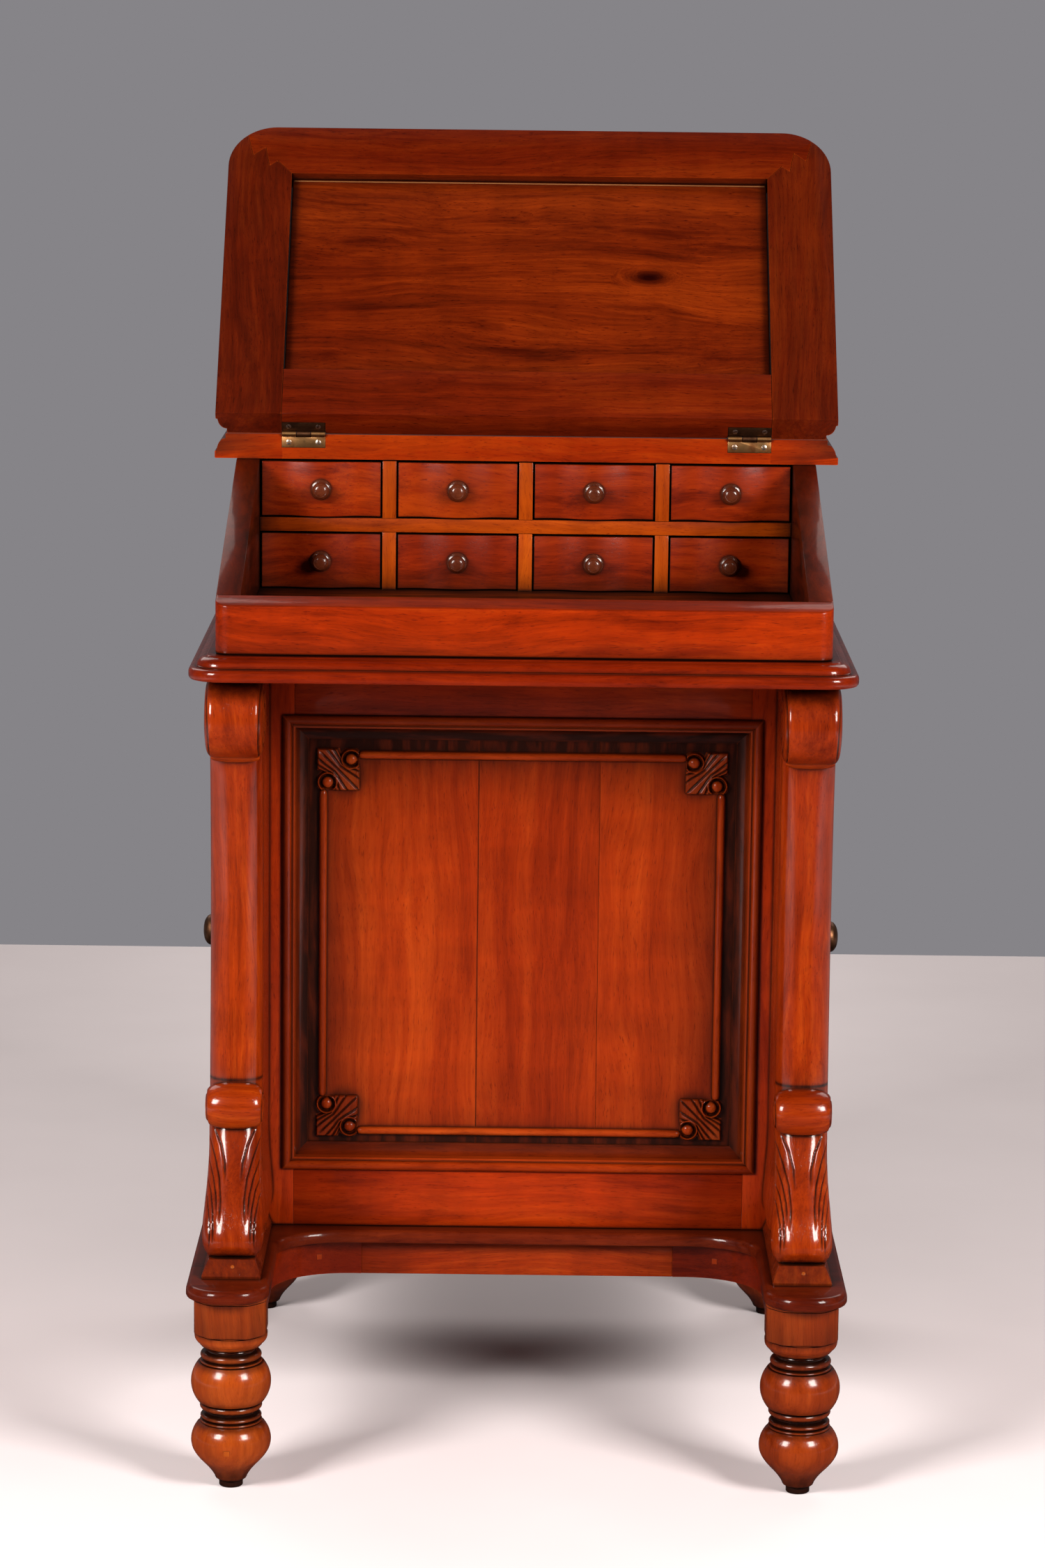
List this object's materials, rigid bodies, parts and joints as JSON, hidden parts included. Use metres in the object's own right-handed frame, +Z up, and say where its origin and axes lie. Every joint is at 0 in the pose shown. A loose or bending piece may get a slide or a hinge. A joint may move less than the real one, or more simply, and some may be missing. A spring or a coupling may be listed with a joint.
{
  "type": "davenport desk",
  "caption": "Davenport desk: hinged slope over a nest of small drawers, on a panelled cupboard pedestal with side doors, scrolled pillars and turned feet.",
  "frame": {"origin": "on the floor, midway between the sides of the desk and between its front and back", "axes": "+Z up from the floor, -Y towards the sitter at the front, +X to the right seen from the front"},
  "size_m": [0.5466, 0.592, 1.1019],
  "materials": {
    "mahogany": "french polish over red-brown mahogany, glossy",
    "dark_mahogany": "french polish over figured mahogany, darker, glossy",
    "turned_knob": "turned and polished dark hardwood",
    "plain_wood": "thin satin finish",
    "aged_brass": "darkened by age, rubbed bright on the edges",
    "leather": "smooth dark brown hide"
  },
  "bodies": {
    "root": {"foot_front_left": "mahogany", "foot_front_right": "mahogany", "foot_rear_left": "mahogany", "foot_rear_right": "mahogany", "platform_board": "mahogany", "platform_apron": "mahogany", "pillar_left": "mahogany", "pillar_right": "mahogany", "front_frame": "mahogany", "front_panel": "dark_mahogany", "panel_moulding": "dark_mahogany", "panel_bead": "mahogany", "side_frame_left": "mahogany", "side_frame_right": "mahogany", "rear_panel": "mahogany", "cupboard_shelf": "plain_wood", "door_hinge_left_lower_post_leaf": "aged_brass", "door_hinge_left_upper_post_leaf": "aged_brass", "door_hinge_right_lower_post_leaf": "aged_brass", "door_hinge_right_upper_post_leaf": "aged_brass", "ledge_board": "mahogany", "box_front": "mahogany", "box_side_left": "mahogany", "box_side_right": "mahogany", "box_back": "mahogany", "drawer_nest": "plain_wood", "fixed_top_board": "mahogany", "lid_hinge_left_board_leaf": "aged_brass", "lid_hinge_right_board_leaf": "aged_brass"},
    "lid": {"lid_frame": "mahogany", "lid_panel": "dark_mahogany", "lid_leather": "leather", "lid_hinge_left_lid_leaf": "aged_brass", "lid_hinge_right_lid_leaf": "aged_brass"},
    "drawer_lower_1": {"drawer_lower_1": "mahogany", "drawer_knob_lower_1": "turned_knob"},
    "drawer_lower_2": {"drawer_lower_2": "mahogany", "drawer_knob_lower_2": "turned_knob"},
    "drawer_lower_3": {"drawer_lower_3": "mahogany", "drawer_knob_lower_3": "turned_knob"},
    "drawer_lower_4": {"drawer_lower_4": "mahogany", "drawer_knob_lower_4": "turned_knob"},
    "drawer_upper_1": {"drawer_upper_1": "mahogany", "drawer_knob_upper_1": "turned_knob"},
    "drawer_upper_2": {"drawer_upper_2": "mahogany", "drawer_knob_upper_2": "turned_knob"},
    "drawer_upper_3": {"drawer_upper_3": "mahogany", "drawer_knob_upper_3": "turned_knob"},
    "drawer_upper_4": {"drawer_upper_4": "mahogany", "drawer_knob_upper_4": "turned_knob"},
    "door_left": {"door_frame_left": "mahogany", "door_panel_left": "dark_mahogany", "door_knob_left": "aged_brass", "door_hinge_left_lower_door_leaf": "aged_brass", "door_hinge_left_upper_door_leaf": "aged_brass"},
    "door_right": {"door_frame_right": "mahogany", "door_panel_right": "dark_mahogany", "door_knob_right": "aged_brass", "door_hinge_right_lower_door_leaf": "aged_brass", "door_hinge_right_upper_door_leaf": "aged_brass"}
  },
  "joints": [
    {"name": "lid_hinge", "type": "hinge", "parent": "root", "child": "lid", "pos_m": [0, 0.0475, 0.8466], "axis": [-1, 0, 0], "range_deg": [-148, 0]},
    {"name": "door_left_hinge", "type": "hinge", "parent": "root", "child": "door_left", "pos_m": [-0.2508, 0.2485, 0.4265], "axis": [0, 0, -1], "range_deg": [0, 170]},
    {"name": "door_right_hinge", "type": "hinge", "parent": "root", "child": "door_right", "pos_m": [0.2508, 0.2485, 0.4265], "axis": [0, 0, 1], "range_deg": [0, 170]},
    {"name": "drawer_lower_1_slide", "type": "slide", "parent": "root", "child": "drawer_lower_1", "axis": [0, -1, 0], "range_m": [0, 0.15]},
    {"name": "drawer_lower_2_slide", "type": "slide", "parent": "root", "child": "drawer_lower_2", "axis": [0, -1, 0], "range_m": [0, 0.15]},
    {"name": "drawer_lower_3_slide", "type": "slide", "parent": "root", "child": "drawer_lower_3", "axis": [0, -1, 0], "range_m": [0, 0.15]},
    {"name": "drawer_lower_4_slide", "type": "slide", "parent": "root", "child": "drawer_lower_4", "axis": [0, -1, 0], "range_m": [0, 0.15]},
    {"name": "drawer_upper_1_slide", "type": "slide", "parent": "root", "child": "drawer_upper_1", "axis": [0, -1, 0], "range_m": [0, 0.15]},
    {"name": "drawer_upper_2_slide", "type": "slide", "parent": "root", "child": "drawer_upper_2", "axis": [0, -1, 0], "range_m": [0, 0.15]},
    {"name": "drawer_upper_3_slide", "type": "slide", "parent": "root", "child": "drawer_upper_3", "axis": [0, -1, 0], "range_m": [0, 0.15]},
    {"name": "drawer_upper_4_slide", "type": "slide", "parent": "root", "child": "drawer_upper_4", "axis": [0, -1, 0], "range_m": [0, 0.15]}
  ]
}
